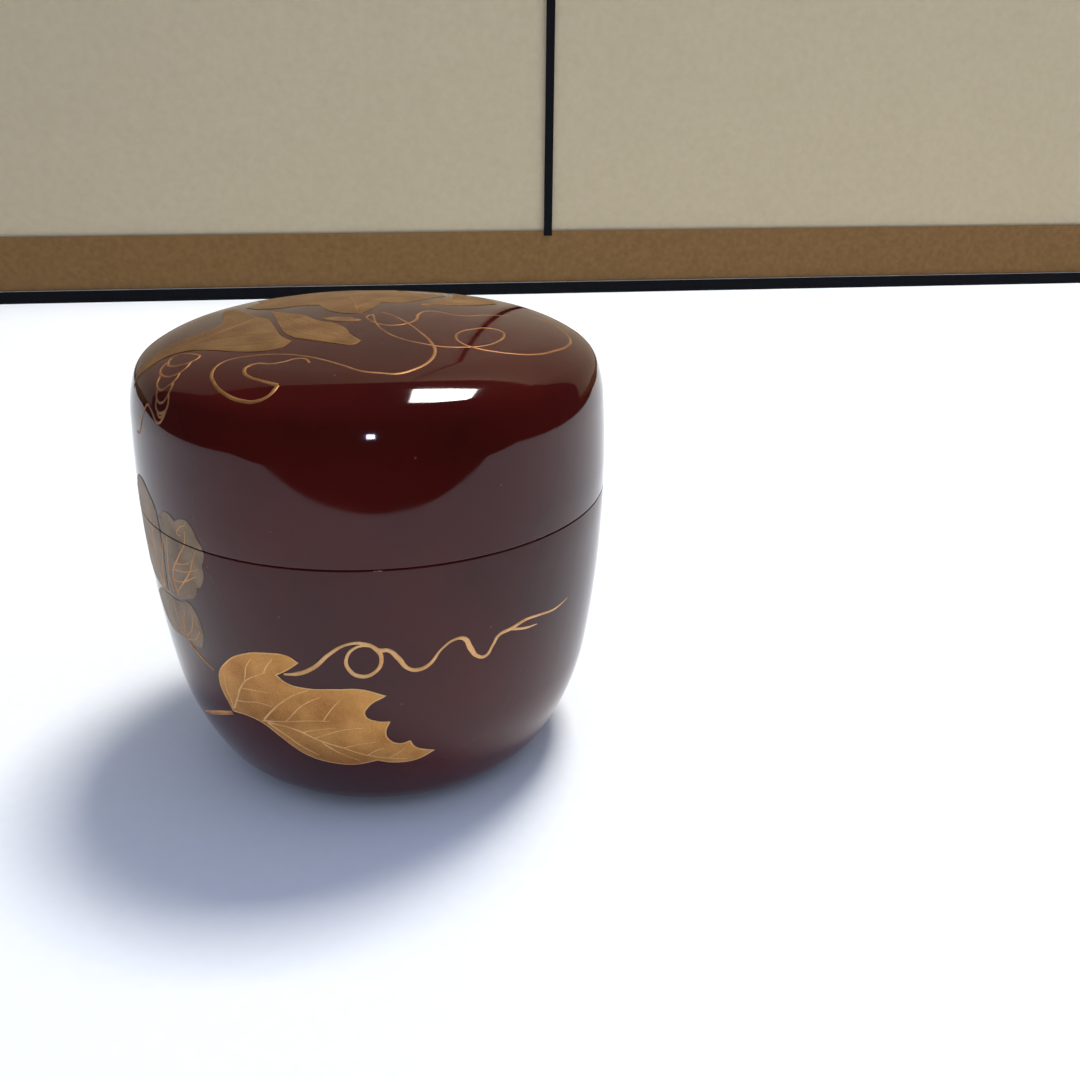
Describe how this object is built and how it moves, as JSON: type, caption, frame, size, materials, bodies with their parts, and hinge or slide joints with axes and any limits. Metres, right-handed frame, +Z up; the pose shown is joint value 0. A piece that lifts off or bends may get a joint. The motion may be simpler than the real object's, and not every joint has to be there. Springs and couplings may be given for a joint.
{
  "type": "tea caddy",
  "caption": "Round lacquered tea caddy with a domed lift-off lid on a standing rim, and gold leaf, flower and tendril pictures outside.",
  "frame": {"origin": "middle of the foot ring, on the surface that the caddy stands on", "axes": "+Z up along the caddy's axis, -Y towards the front, where the large gold leaf is, +X to the right"},
  "size_m": [0.066, 0.066, 0.0661],
  "materials": {
    "red_brown_lacquer": "clear red-brown lacquer over black, polished to a mirror gloss",
    "black_lacquer": "black lacquer, gloss",
    "wood_core": "turned hardwood, sealed under the lacquer",
    "gold_powder": "sprinkled gold powder in lacquer, softly burnished"
  },
  "bodies": {
    "caddy_body": {"body_wood_core": "wood_core", "body_outer_lacquer": "red_brown_lacquer", "body_inner_lacquer": "black_lacquer", "base_lacquer": "red_brown_lacquer", "front_leaf": "gold_powder", "front_leaf_stem": "gold_powder", "front_tendril": "gold_powder", "side_leaf_front_on_body": "gold_powder", "side_leaf_back_on_body": "gold_powder", "small_side_leaf": "gold_powder", "small_side_leaf_stem": "gold_powder"},
    "lid": {"lid_wood_core": "wood_core", "lid_outer_lacquer": "red_brown_lacquer", "lid_inner_lacquer": "black_lacquer", "side_leaf_front_on_lid": "gold_powder", "side_leaf_back_on_lid": "gold_powder", "trumpet_flower": "gold_powder", "flower_bud": "gold_powder", "thin_leaf": "gold_powder", "back_leaf": "gold_powder", "right_back_leaf": "gold_powder", "lid_tendrils": "gold_powder", "coil_tendril": "gold_powder"}
  },
  "joints": [
    {"name": "lid_lift", "type": "slide", "parent": "caddy_body", "child": "lid", "axis": [0, 0, 1], "range_m": [0, 0.045]}
  ]
}
